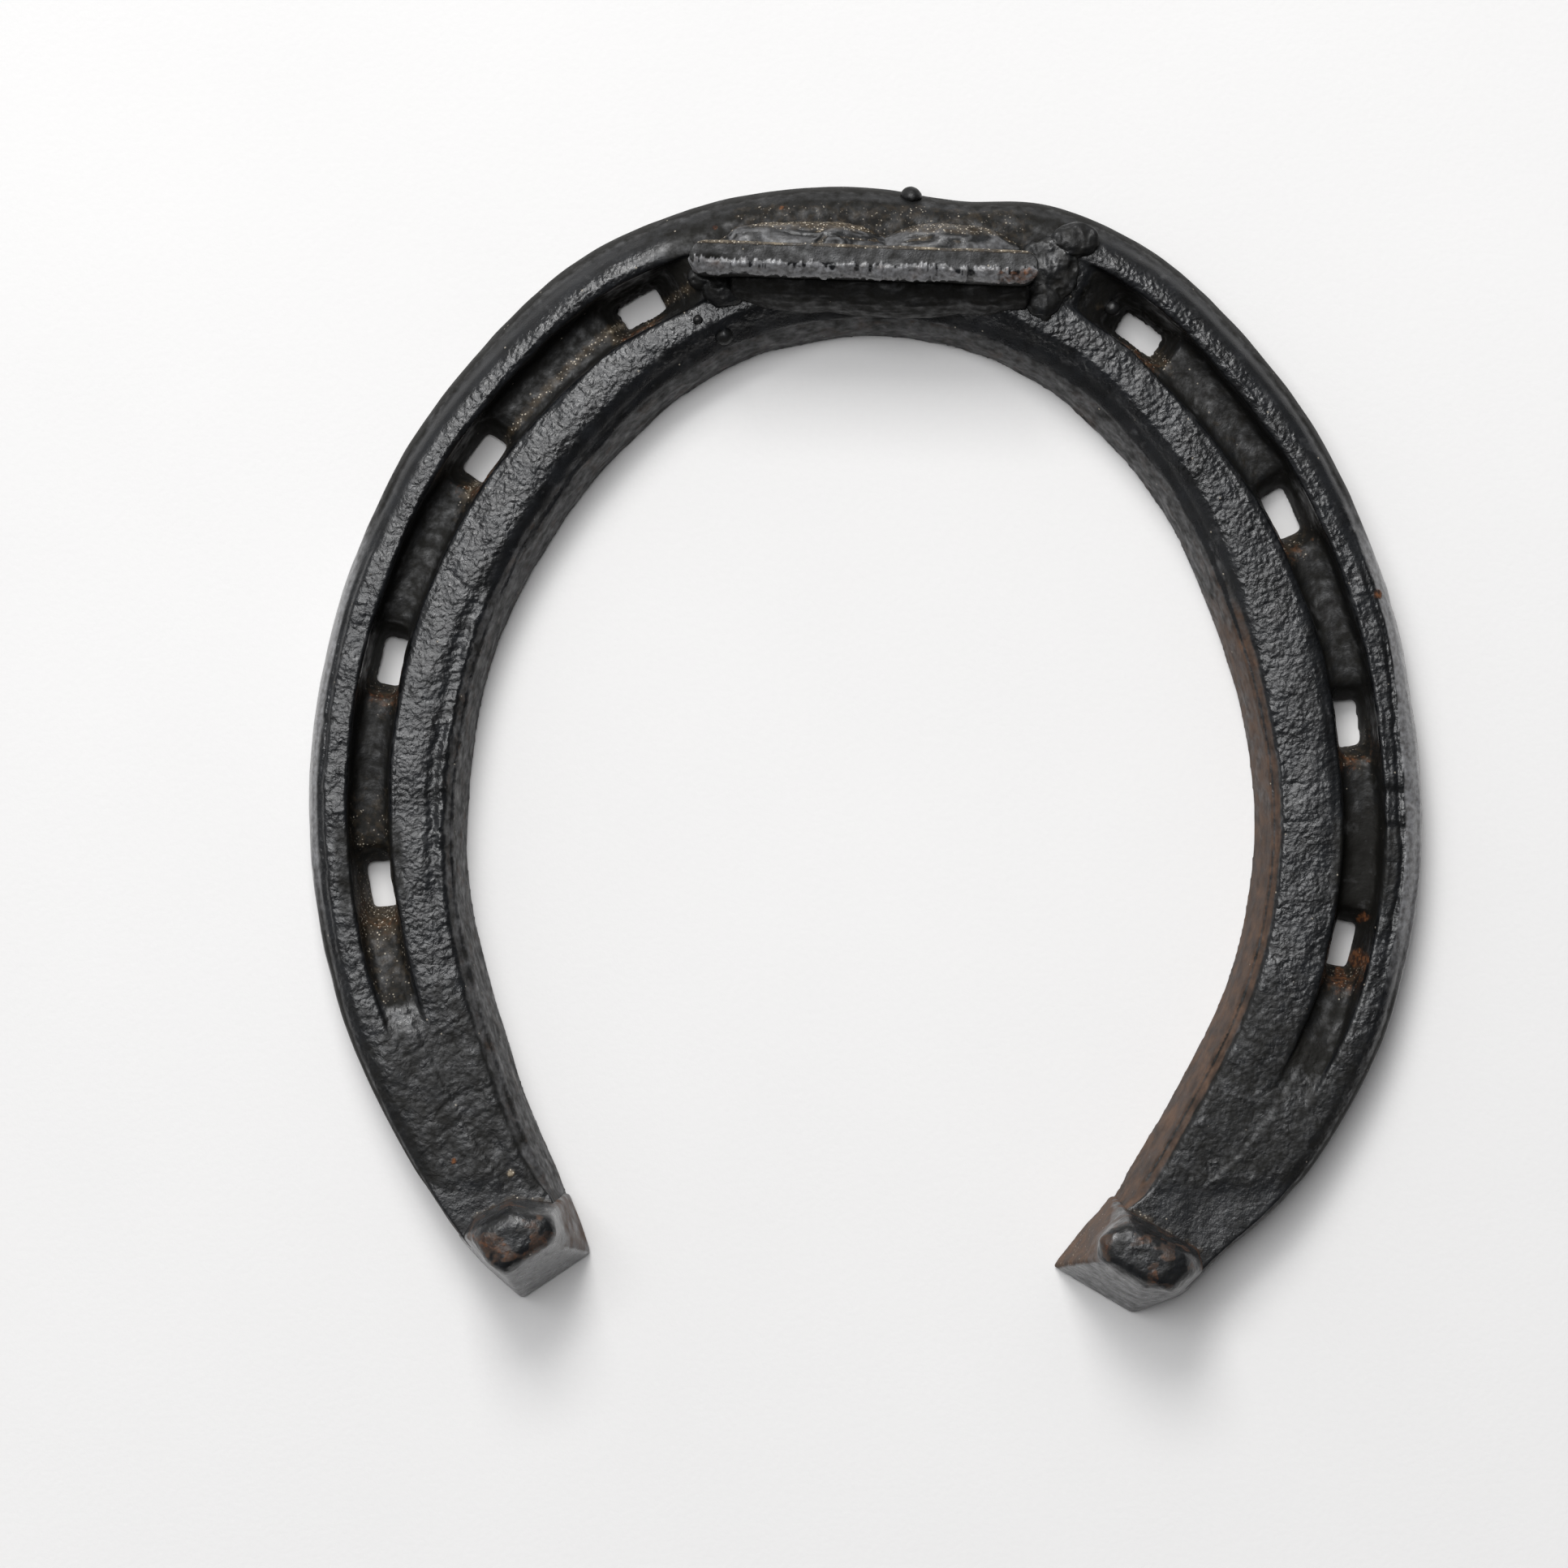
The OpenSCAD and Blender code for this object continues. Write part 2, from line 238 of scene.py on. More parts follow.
def fine_copy(node, voxel, smooth=2, sink=0.0, swell=0.0, plant=None):
    """A finely remeshed copy of a CAD node, to stand for it. Its foot is sunk into what it sits on, or
    moved by plant, which takes and returns points in millimetres."""
    piece = bpy.data.objects.new(node + "_worn", NODES[node].data.copy())
    piece.data.materials.clear()
    bpy.context.scene.collection.objects.link(piece)
    p = points_of(piece)[0]
    foot = p[:, 2] < p[:, 2].min() + 0.01
    p[foot, 2] -= sink
    if plant:
        p[foot] = plant(p[foot])
    move_points(piece, p)
    remesh = piece.modifiers.new("remesh", "REMESH")
    remesh.mode = "VOXEL"
    remesh.voxel_size = voxel * MM
    soften = piece.modifiers.new("soften", "SMOOTH")
    soften.factor = 0.5
    soften.iterations = smooth
    apply_modifiers(piece)
    if swell:
        p, normal = points_of(piece)
        move_points(piece, p + swell * normal)
    return piece


def apply_modifiers(piece):
    """Makes the modifiers' result the piece's own mesh, shaded smooth."""
    shown = piece.evaluated_get(bpy.context.evaluated_depsgraph_get())
    mesh = bpy.data.meshes.new_from_object(shown)
    piece.modifiers.clear()
    piece.data = mesh
    mesh.name = piece.name
    for attribute in [a.name for a in mesh.attributes if a.name.startswith("custom_normal")]:
        mesh.attributes.remove(mesh.attributes[attribute])
    mesh.polygons.foreach_set("use_smooth", [True] * len(mesh.polygons))


def points_of(piece):
    """The points of a mesh in millimetres, and its normals there."""
    mesh = piece.data
    co = np.zeros(len(mesh.vertices) * 3, np.float32)
    mesh.vertices.foreach_get("co", co)
    normal = np.zeros(len(mesh.vertices) * 3, np.float32)
    mesh.vertices.foreach_get("normal", normal)
    return co.reshape(-1, 3).astype(float) / MM, normal.reshape(-1, 3).astype(float)


def move_points(piece, p):
    piece.data.vertices.foreach_set("co", (p * MM).astype(np.float32).ravel())
    piece.data.update()


def relax(piece, p, weight, rounds):
    """Evens points out with their neighbours, each as far as its weight says."""
    edges = np.zeros(len(piece.data.edges) * 2, np.int32)
    piece.data.edges.foreach_get("vertices", edges)
    a, b = edges.reshape(-1, 2).T
    count = np.maximum(np.bincount(a, minlength=len(p)) + np.bincount(b, minlength=len(p)), 1)
    for _ in range(rounds):
        for k in range(3):
            total = np.bincount(a, p[b, k], len(p)) + np.bincount(b, p[a, k], len(p))
            p[:, k] += weight * (total / count - p[:, k])
    return p


def store(piece, **layers):
    """Keeps each layer, a number from 0 to 1 for each vertex, for the material to read."""
    size = len(piece.data.vertices)
    for name in LAYERS:
        layer = piece.data.attributes.new(name, "FLOAT", "POINT")
        values = np.broadcast_to(layers.get(name, 0.0), size)
        layer.data.foreach_set("value", np.clip(values, 0, 1).astype(np.float32))


def stands_for(piece, node, material):
    """Gives the piece its material, and puts it in the CAD node's place on the only body."""
    piece.data.materials.clear()
    piece.data.materials.append(material)
    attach(piece, "root")
    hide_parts(node)


def near(p, x, y, radius):
    """1 at a place, falling to 0 at the radius."""
    return ramp(np.hypot(p[:, 0] - x, p[:, 1] - y), radius, 0.2 * radius)


def line(value, middle, half):
    """1 along the line where the value is middle, 0 beyond half to either side."""
    return ramp(np.abs(value - middle), half, 0)


# ---- Materials ----

class Graph:
    """Short names for the few shader nodes that the materials are built from."""

    def __init__(self, name):
        self.material = bpy.data.materials.new(name)
        self.material.use_nodes = True
        self.tree = self.material.node_tree
        self.shader = self.tree.nodes["Principled BSDF"]
        self.place = self.add("ShaderNodeTexCoord").outputs["Object"]

    def add(self, kind, **inputs):
        node = self.tree.nodes.new(kind)
        for name, value in inputs.items():
            self.set(node.inputs[name.replace("_", " ")], value)
        return node

    def set(self, socket, value):
        if isinstance(value, bpy.types.NodeSocket):
            self.tree.links.new(value, socket)
        else:
            socket.default_value = value

    def layer(self, name):
        node = self.add("ShaderNodeAttribute")
        node.attribute_name = name
        return node.outputs["Fac"]

    def grain(self, size, detail=4.0, rough=0.55, twist=0.0):
        """Noise from about 0.3 to 0.7, with grains about size millimetres across."""
        node = self.add("ShaderNodeTexNoise", Vector=self.place, Scale=1 / (size * MM), Detail=detail)
        node.inputs["Roughness"].default_value = rough
        node.inputs["Distortion"].default_value = twist
        return node.outputs["Fac"]

    def specks(self, size):
        """Distance to the nearest of many scattered points, in units of size."""
        node = self.add("ShaderNodeTexVoronoi", Vector=self.place, Scale=1 / (size * MM))
        return node.outputs["Distance"]

    def lumps(self, size):
        """Low between scattered points and high at them, with round tops."""
        node = self.add("ShaderNodeTexVoronoi")
        node.feature = "SMOOTH_F1"
        self.set(node.inputs["Vector"], self.place)
        node.inputs["Scale"].default_value = 1 / (size * MM)
        node.inputs["Smoothness"].default_value = 0.6
        return self.remap(node.outputs["Distance"], 0.0, 0.8, 1, 0)

    def remap(self, value, low, high, to_low=0.0, to_high=1.0):
        node = self.add("ShaderNodeMapRange", Value=value)
        for name, number in (("From Min", low), ("From Max", high), ("To Min", to_low), ("To Max", to_high)):
            self.set(node.inputs[name], number)
        return node.outputs["Result"]

    def maths(self, operation, a, b):
        node = self.add("ShaderNodeMath")
        node.operation = operation
        self.set(node.inputs[0], a)
        self.set(node.inputs[1], b)
        return node.outputs["Value"]

    def mix(self, factor, a, b):
        node = self.add("ShaderNodeMix")
        node.data_type = "RGBA"
        for socket, value in zip((node.inputs[0], node.inputs[6], node.inputs[7]), (factor, a, b)):
            self.set(socket, value)
        return node.outputs[2]

    def bump(self, height, tall, strength, normal=None):
        """Height from 0 to 1 stands for tall millimetres."""
        node = self.add("ShaderNodeBump", Height=height, Distance=tall * MM, Strength=strength)
        if normal is not None:
            self.set(node.inputs["Normal"], normal)
        return node.outputs["Normal"]


PAINT_DEEP = (0.0040, 0.0042, 0.0046, 1)
PAINT_PALE = (0.0100, 0.0110, 0.0128, 1)
# Near-black and dull: dirt, and also painted shade in the creases, slots and steep crease walls
DIRT_AND_SHADE = (0.0088, 0.0083, 0.0070, 1)
# Pale greys: paint rubbed off, and also painted sheen on the outer bevel and painted glints on the toe bar's
# chipped edge
RUBBED_AND_SHEEN = (0.205, 0.206, 0.213, 1)
RUBBED_AND_SHEEN_DARK = (0.085, 0.083, 0.083, 1)
STAIN = (0.120, 0.074, 0.051, 1)
STAIN_DARK = (0.058, 0.040, 0.032, 1)
RUST_DARK = (0.030, 0.014, 0.009, 1)
RUST_BRIGHT = (0.17, 0.068, 0.028, 1)
DUST_BROWN = (0.065, 0.048, 0.030, 1)
DUST_TAN = (0.30, 0.25, 0.18, 1)
DUST_PALE = (0.55, 0.49, 0.40, 1)
# pebbled paint; dirt, with painted shade in creases and slots; paint rubbed smooth and grey, with painted
# sheen and glints on edges; brown stain; rust; dust
LAYERS = ("pebble", "dirt", "rubbed", "stain", "rust", "dust")


def weathered(name):
    """Old black paint. The piece's layers say what is where, and noise breaks up the edges of each."""
    g = Graph(name)
    layer = {n: g.layer(n) for n in LAYERS}

    def patch(n, size, low, high):
        """0 to 1 where a layer is strong enough, with an edge broken up by grains of this size."""
        return g.remap(g.maths("ADD", layer[n], g.grain(size)), low, high)

    colour = g.mix(g.remap(g.grain(3.2), 0.38, 0.66), PAINT_DEEP, PAINT_PALE)
    # Dirt and painted shade: the layer mixes in a near-black colour and, below, dulls the reflection
    dirt = patch("dirt", 1.3, 0.7, 1.2)
    colour = g.mix(dirt, colour, DIRT_AND_SHADE)
    # Rubbed paint, and painted sheen and glints: the layer mixes in pale grey
    rubbed = patch("rubbed", 2.2, 0.6, 1.3)
    colour = g.mix(rubbed, colour, g.mix(g.remap(g.grain(0.7), 0.35, 0.62), RUBBED_AND_SHEEN_DARK, RUBBED_AND_SHEEN))
    stain = patch("stain", 2.4, 0.75, 1.25)
    colour = g.mix(stain, colour, g.mix(g.remap(g.grain(1.9), 0.35, 0.65), STAIN_DARK, STAIN))
    rust = patch("rust", 0.8, 0.85, 1.2)
    colour = g.mix(rust, colour, g.mix(g.remap(g.grain(0.6), 0.42, 0.6), RUST_DARK, RUST_BRIGHT))
    film = g.maths("MULTIPLY", patch("dust", 0.9, 0.85, 1.35), 0.8)
    colour = g.mix(film, colour, g.mix(patch("dust", 0.5, 1.2, 1.5), DUST_BROWN, DUST_TAN))
    crumbs = g.maths("MULTIPLY", g.remap(g.specks(0.42), 0.30, 0.16), patch("dust", 1.1, 0.9, 1.15))
    crumbs = g.maths("MAXIMUM", crumbs, g.remap(g.specks(2.6), 0.055, 0.035, 0, 0.5))
    colour = g.mix(crumbs, colour, DUST_PALE)
    g.set(g.shader.inputs["Base Color"], colour)

    powder = g.maths("MAXIMUM", rust, g.maths("MAXIMUM", film, crumbs))
    smooth = g.remap(g.grain(1.9), 0.35, 0.65, 0.24, 0.35)
    matte = g.maths("MAXIMUM", powder, g.maths("MAXIMUM", dirt, stain))
    g.set(g.shader.inputs["Roughness"], g.maths("ADD", smooth, g.remap(matte, 0, 1, 0, 0.35)))
    g.set(g.shader.inputs["Specular IOR Level"], g.remap(matte, 0, 1, 0.55, 0.15))

    pebble = g.remap(layer["pebble"], 0, 1, 0.06, 1)
    normal = g.bump(g.grain(0.24, 2), 0.030, 0.9)
    normal = g.bump(g.lumps(0.62), 0.075, pebble, normal)
    normal = g.bump(g.grain(0.9, 3.0, 0.55, 0.4), 0.17, pebble, normal)
    g.set(g.shader.inputs["Normal"], g.bump(powder, 0.08, 0.5, normal))
    return g.material


# ---- Shoe bar ----

TOP = BAR_TOP / MM
# How far in from the outer edge the crease's inner lip is, and how much further in at the quarters
LIP = 10.4
QUARTER_LIP = 1.7
# Dents in the outer rim: [x, y, half width along the bar, depth]
DENTS = (
    (64.2, -5.2, 0.7, 0.22),
    (64.6, -9.6, 0.8, 0.25),
    (67.6, -6.6, 0.45, 0.3),
    (-67.0, 3.5, 0.6, 0.2),
)
# Spots of rust, and places where dust lies: [x, y, radius]
RUST_SPOTS = (
    (62.4, 19.0, 1.1),
    (-50.2, -50.0, 0.7),
    (60.3, -25.5, 1.6),
    (58.4, -27.4, 1.3),
    (61.2, -20.4, 1.2),
    (-18.4, 63.6, 0.6),
    (-10.3, 66.1, 0.6),
)
DUST_SPOTS = (
    (-43.3, -51.5, 0.9),
    (-26.5, 52.3, 1.6),
    (-30.5, 50.4, 1.6),
    (5.5, 62.5, 2.4),
    (-8.0, 63.6, 1.5),
)
# A spot smaller than this is one pale crumb. A larger one is a thin film.
CRUMB = 1.0
FILM_SHARE = 0.62
# Ground around the toe bar where loose dust lies: [low x, high x], [low y, high y]
DUSTY_TOE = ((-15, 19), (57, 66))
# How far along the bar from the toe one kind of surface gives way to the next
TOE_FADES, TOE_ENDS = 20, 32
BRANCH_STARTS, BRANCH_FULL = 62, 78
QUARTER_FADES, QUARTER_ENDS = 75, 95
HEEL_STARTS, HEEL_FULL = 112, 132
# The two holes next to the toe are within this of the middle line and further than this up it
TOE_HOLES = 40
# How far in from the outer edge the crease reaches
CREASE_OUTER, CREASE_INNER = 4.4, 12


class BarPlaces:
    """Where each point of the bar is, and how far it belongs to each kind of surface."""

    def __init__(self, p, normal):
        self.p = p
        self.normal = normal
        self.along, self.depth, self.inset = SHOE.place(p)
        self.flat = np.stack([self.along, self.depth, p[:, 2]], axis=1)
        self.far = np.abs(self.along)
        up = normal[:, 2]
        outward = (normal[:, :2] * p[:, :2]).sum(1) / np.hypot(p[:, 0], p[:, 1])
        self.high = ramp(p[:, 2], TOP - 2.2, TOP - 1.0)
        self.ground = self.high * ramp(up, 0.3, 0.7)
        self.toe = ramp(self.far, TOE_ENDS, TOE_FADES)
        self.branch = ramp(self.far, BRANCH_STARTS, BRANCH_FULL)
        self.quarter = ramp(self.far, TOE_FADES, TOE_ENDS) * ramp(self.far, QUARTER_ENDS, QUARTER_FADES)
        self.heel = ramp(self.far, HEEL_STARTS, HEEL_FULL)
        self.lip = LIP + QUARTER_LIP * ramp(np.abs(self.far - 47), 45, 0)
        outer_side = ramp(outward, 0.15, 0.35) * ramp(self.depth, 9, 8)
        self.crease = band(self.depth, CREASE_OUTER, CREASE_INNER, 0.4)
        self.sunk = ramp(p[:, 2], TOP - 0.5, TOP - 1.2) * self.crease * (1 - outer_side)
        self.sunk *= ramp(up, -0.6, -0.3)
        narrow = self.branch > 0.5
        self.slope = ramp(self.depth, np.where(narrow, 2.4, 4.4), np.where(narrow, 1.8, 3.4))
        self.floor = self.sunk * ramp(up, 0.5, 0.85)
        self.right = ramp(self.along, -4, 4)
        reach = 3.0 + 0.8 * self.branch
        facing = 0.75 + 0.18 * self.branch
        self.wall = ramp(self.inset, reach, reach - 0.8)
        self.wall *= ramp(up, facing, facing - 0.13) * ramp(up, -0.5, -0.1)
        self.wall *= ramp(p[:, 2], TOP - 0.1, TOP - 0.6)
        self.bevel = 1.5 + self.right * (0.5 + 0.8 * ramp(self.far, 78, 92))
        strip = ramp(self.depth, self.bevel, self.bevel - 0.4) * ramp(up, -0.4, 0.1)
        self.strip = self.branch * strip * ramp(self.far, 118 + 8 * self.right, 100 + 14 * self.right)
        self.smooth = np.maximum(self.strip, (1 - self.branch) * ramp(self.depth, 3.6, 2.6))
        self.smooth = np.maximum(self.smooth, self.toe * ramp(self.depth, 13, 9))
        self.rolled = (1 - self.branch) * self.high * ramp(self.inset, 4.6, 3.2)
        self.under_calk = ramp(p[:, 1], CAD_LOW.y / MM + 18, CAD_LOW.y / MM + 15)
        self.pebble = self.ground * (1 - self.smooth) * (1 - 0.9 * self.rolled) * (1 - self.wall)
        self.pebble *= 1 - 0.6 * self.under_calk
        self.end = end_face(p, normal)


def end_face(p, normal):
    """1 on the cut faces at the two heel ends."""
    low = CAD_LOW.y / MM
    return ramp(p[:, 1], low + 16, low + 11) * ramp(-normal[:, 1], 0.3, 0.55) * ramp(normal[:, 2], 0.8, 0.6)


def sag(at):
    """How far the ground surface falls away from the flat towards its edges."""
    across = np.clip((at.depth - at.lip) / (at.depth + at.inset - at.lip - 2), 0, 1)
    inner = (0.25 + 0.20 * at.quarter) * across ** 4
    inner += (0.15 + 0.40 * at.quarter * (1 - 0.8 * at.right)) * (1 - np.clip(1.9 * across, 0, 1)) ** 2
    inner += 0.35 * ramp(at.depth, 11.8, 10.4) * at.right * at.branch * ramp(at.far, 104, 96)
    outer = 0.30 * np.clip((3.8 - at.depth) / 2.5, 0, 1) ** 2
    return at.high * np.where(at.depth > at.lip - 2, inner, outer) * (1 - at.under_calk)


def edge_lines(at):
    """The raised lip along the inner edge with a groove beside it, the groove beside the outer bevel,
    and the beads of paint along the crease."""
    wander = 0.3 * noise(at.p, 7, 301) + 0.15 * noise(at.p, 2, 303)
    spikes = ridged(at.flat, np.array([0.8, 2.6, 2.6]), 305, 2)
    ragged = 0.26 + 0.24 * spikes + 0.10 * layered(at.p, 1.2, 307, 2)
    rough_inset = at.inset + wander + 0.45 * spikes
    right = at.right
    left = 1 - right
    out = left * (ragged * band(rough_inset, 1.7, 2.9, 0.8) - 0.16 * line(rough_inset, 4.2, 1.0))
    out += right * 0.16 * line(rough_inset, 2.8, 0.6)
    out -= (0.24 + 0.08 * right) * line(at.depth, at.bevel + 0.4 + wander, 0.42) * (1 - at.heel)
    beads = line(at.depth, 4.8 + 0.4 * wander, 0.35) + line(at.depth, at.lip + 0.2 + 0.4 * wander, 0.35)
    out = (out * at.branch + 0.13 * beads * (1 - at.toe)) * ramp(at.far, 122, 104)
    return out * at.high * (1 - at.under_calk)


def bar_relief(at):
    """How far each point stands out from the plain bar, along its normal."""
    grain = np.array([1.0, 1.3, 1.3])
    folds = ridged(at.flat, 1.9 * grain * [1, 3, 3], 13, 2)
    wrinkles = ridged(at.flat, 1.4 * grain * [1, 2, 2], 11, 2)
    lumps = layered(at.p, 1.9 * grain, 23, 3)
    craters = pits(at.p, 1.5, 37, 0.45)
    hewn = layered(at.flat, np.array([3.0, 1.6, 1.6]), 53, 3)
    streaks = layered(at.flat, np.array([9.0, 0.8, 0.8]), 59, 2)
    rim = at.pebble * ramp(at.depth, 7, 5)
    out = at.pebble * (0.060 * lumps - 0.065 * craters + 0.025 * wrinkles)
    out += 0.07 * folds * (rim * at.branch + 0.6 * at.pebble * at.heel)
    out += 0.14 * layered(at.p, 7.0, 41, 2) + 0.09 * at.pebble * layered(at.p, 3.6, 43, 2) + 0.02 * lumps
    out += at.floor * (0.20 * layered(at.p, 3.2, 61, 3) + 0.05 * ridged(at.p, 1.3, 63, 2))
    out += (at.sunk - at.floor) * 0.30 * layered(at.p, 4.0, 71, 3)
    smoother = (0.6 + 0.2 * at.right) * at.branch
    out += at.wall * (0.15 * hewn * (1 - smoother) + 0.008 * streaks * at.branch)
    out += 0.015 * streaks * at.smooth + 0.13 * at.strip * at.right * layered(at.p, 2.0, 73, 3)
    out -= 0.10 * at.heel * at.pebble * ramp(folds, 0.1, 0.6)
    return out + edge_lines(at) + dents(at) + rags(at) - 0.25 * at.under_calk


def dents(at):
    """The dents in the outer rim, as heights below it."""
    out = np.zeros(len(at.p))
    for x, y, half, deep in DENTS:
        gap = (at.p[:, 1] - y + 0.12 * (at.p[:, 0] - x)) / half
        out -= deep * np.exp(-gap ** 2 - ((at.p[:, 0] - x) / 2.4) ** 4) * at.high
    return out


def rags(at):
    """The ragged edges of paint inside the two holes next to the toe."""
    out = np.zeros(len(at.p))
    for x, y in HOLES:
        if abs(x) < TOE_HOLES and y > TOE_HOLES:
            out += near(at.p, x, y, 6) * ramp(np.abs(at.normal[:, 2]), 0.7, 0.3)
    return out * ramp(at.p[:, 2], 6, 4) * 0.35 * ridged(at.p, 0.9, 83, 2)


def slot_walls(at):
    """1 on the walls of the nail slots, whose corners are rounded."""
    close = np.zeros(len(at.p))
    for x, y in HOLES:
        close = np.maximum(close, near(at.p, x, y, 9))
    upright = ramp(np.abs(at.normal[:, 2]), 0.8, 0.5)
    return close * upright * at.crease * ramp(at.p[:, 2], TOP - 3.5, TOP - 4.5)


def planted(foot):
    """Where a heel calk's foot goes, so that the calk covers the bar's end: corners near the hoof outline
    run down to it, and the others sink into the bar."""
    goal = foot - [0, 0, 1.0]
    a, b = SHOE.start, SHOE.end
    for i, point in enumerate(foot[:, :2]):
        u = np.clip(((point - a) * (b - a)).sum(1) / ((b - a) ** 2).sum(1), 0, 1)
        on_edge = a + u[:, None] * (b - a)
        gap = np.linalg.norm(on_edge - point, axis=1)
        if gap.min() < 2.2:
            place = on_edge[gap.argmin()]
            goal[i] = (*place, 2.5 if place @ place > point @ point else 0.3)
    before, after = a - np.roll(a, 1, axis=0), b - a
    turn = before[:, 0] * after[:, 1] - before[:, 1] * after[:, 0]
    turn /= np.linalg.norm(before, axis=1) * np.linalg.norm(after, axis=1)
    for corner in a[np.argsort(-np.abs(turn))[:4]]:
        gap = np.linalg.norm(foot[:, :2] - corner, axis=1)
        if gap.min() < 3.5:
            goal[gap < gap.min() + 0.01] = (*corner, 0.3)
    return goal


def root_lines(p):
    """1 along the foot of each heel calk, on the side towards the toe, 0 a millimetre away."""
    close = np.full(len(p), 9.0)
    for node in CALKS:
        foot = np.array([v.co for v in NODES[node].data.vertices]) / MM
        foot = np.unique(foot[foot[:, 2] < foot[:, 2].min() + 0.01, :2].round(3), axis=0)
        middle = foot.mean(0)
        foot = foot[np.argsort(np.arctan2(foot[:, 1] - middle[1], foot[:, 0] - middle[0]))]
        for a, b in zip(foot, np.roll(foot, -1, axis=0)):
            if min(a[1], b[1]) > middle[1] + 0.1:
                u = np.clip(((p[:, :2] - a) @ (b - a)) / ((b - a) @ (b - a)), 0, 1)
                close = np.minimum(close, np.linalg.norm(p[:, :2] - a - u[:, None] * (b - a), axis=1))
    return ramp(close, 1.1, 0.2) * (0.55 + 0.25 * noise(p, 1.8, 191))


def shoe_bar(material):
    """The bar: its sides and slots evened out, then worn, then its layers of dirt and painted shade, rust
    and dust.
    """
    piece = fine_copy("shoe_bar", by_quality(0.26), 3)
    p, normal = points_of(piece)
    at = BarPlaces(p, normal)
    even = np.maximum(at.slope, np.maximum((1 - at.branch) * ramp(at.inset, 4.8, 3.8), 0.8 * at.sunk))
    even *= ramp(p[:, 2], 1.2, 2.4) * (1 - at.under_calk)
    rounded = relax(piece, p.copy(), 0.5 * slot_walls(at), by_quality(14))
    at.p = relax(piece, rounded, 0.5 * even, by_quality(60))
    move_points(piece, at.p)
    at.normal = points_of(piece)[1]
    moved = at.p + at.normal * bar_relief(at)[:, None]
    moved[:, 2] = np.clip(moved[:, 2] - sag(at), 0, None)
    move_points(piece, moved)

    below_hole = np.zeros(len(p))
    for x, y in HOLES:
        below_hole = np.maximum(below_hole, near(p, x, y - 3, 6))
    spots = np.zeros(len(p))
    for x, y, size in RUST_SPOTS:
        spots = np.maximum(spots, near(p, x, y, size))
    specks = np.zeros(len(p))
    for x, y, size in DUST_SPOTS:
        specks = np.maximum(specks, near(p, x, y, size) * (1.0 if size < CRUMB else FILM_SHARE))
    toe_dust = band(p[:, 0], *DUSTY_TOE[0], 4) * band(p[:, 1], *DUSTY_TOE[1], 2) * at.high
    lip_foot = at.sunk * line(at.depth, 9.6, 1.2) * ramp(at.far, 70, 50) * (1 - 0.7 * at.right)
    left_end = at.sunk * ramp(at.along, -92, -100)
    # in_hole and steep mark painted shade: the bottoms of the slots and the steep outer walls of the crease,
    # darkened below
    in_hole = at.sunk * ramp(p[:, 2], TOP - 5.0, TOP - 5.8)
    steep = ramp(at.depth, 5, 4) * ramp(at.normal[:, 2], 0.75, 0.3)
    steep *= np.maximum(1 - at.branch, ramp(at.far, 92, 110))
    side = ramp(at.depth, 2.2, 1.6) * ramp(p[:, 2], TOP - 2.5, TOP - 4.5) * ramp(at.far, 50, 95)
    toe_top = at.toe * at.smooth * ramp(at.normal[:, 2], 0.5, 0.8)
    run_out = band(at.depth, 4, 11, 1.5) * ramp(at.far, 98, 102) * ramp(at.far, 115, 108)
    right_wall = at.right * at.branch
    pebble = (1 - 0.2 * at.branch - 0.1 * at.heel) * at.pebble + 0.3 * at.sunk * (1 - in_hole)
    # Partly real dirt and partly painted shade: the crease floor, the slots and the steep crease walls are
    # darkened and dulled
    dirt = 0.55 * at.sunk + 0.4 * in_hole + (0.6 + 0.25 * at.right * ramp(at.far, 95, 110)) * at.wall
    dirt += 0.85 * steep * (1 - side) + 0.45 * at.heel * at.pebble + 0.6 * toe_top + 0.5 * run_out
    # The pale grey outer bevel strip is worn paint, and also a painted reflection of the room
    rubbed = np.maximum(at.strip * ramp(at.far, 126, 100) * (0.75 + 0.5 * at.right), 0.66 * side)
    rubbed += 0.4 * at.end + at.wall * (0.30 - 0.14 * right_wall)
    stain = at.wall * (0.22 + 0.42 * right_wall) + 0.3 * at.end
    rust = 0.5 * at.sunk * below_hole * ramp(p[:, 2], 2, 5) + 0.8 * spots
    crease_dust = at.sunk * (0.18 + 0.28 * below_hole + 0.5 * lip_foot + 0.22 * left_end)
    dust = np.maximum.reduce([crease_dust, 0.40 * toe_dust, specks, at.ground * root_lines(p)])
    store(piece, pebble=pebble, dirt=dirt, rubbed=rubbed, stain=stain, rust=rust, dust=dust)
    stands_for(piece, "shoe_bar", material)


# ---- Toe bar and its welds ----

class ToeFrame:
    """The toe bar's own frame: x along it, y towards the toe, z up from its foot."""

    def __init__(self, mesh):
        p = np.array([v.co for v in mesh.vertices]) / MM
        self.foot = p[:, 2].min()
        base = p[p[:, 2] < self.foot + 0.01, :2]
        self.middle = (base.min(0) + base.max(0)) / 2
        run = np.linalg.svd(base - self.middle)[2][0]
        self.run = run * np.sign(run[0])
        own = self.own(p)
        self.half_length = np.abs(own[:, 0]).max()
        self.half_thick = np.abs(own[:, 1]).max()
        self.height = p[:, 2].max() - self.foot

    def own(self, p):
        """The points in this frame, in millimetres."""
        flat = p[:, :2] - self.middle
        across = np.array([-self.run[1], self.run[0]])
        return np.stack([flat @ self.run, flat @ across, p[:, 2] - self.foot], axis=1)


TOE = ToeFrame(NODES["toe_bar"].data)


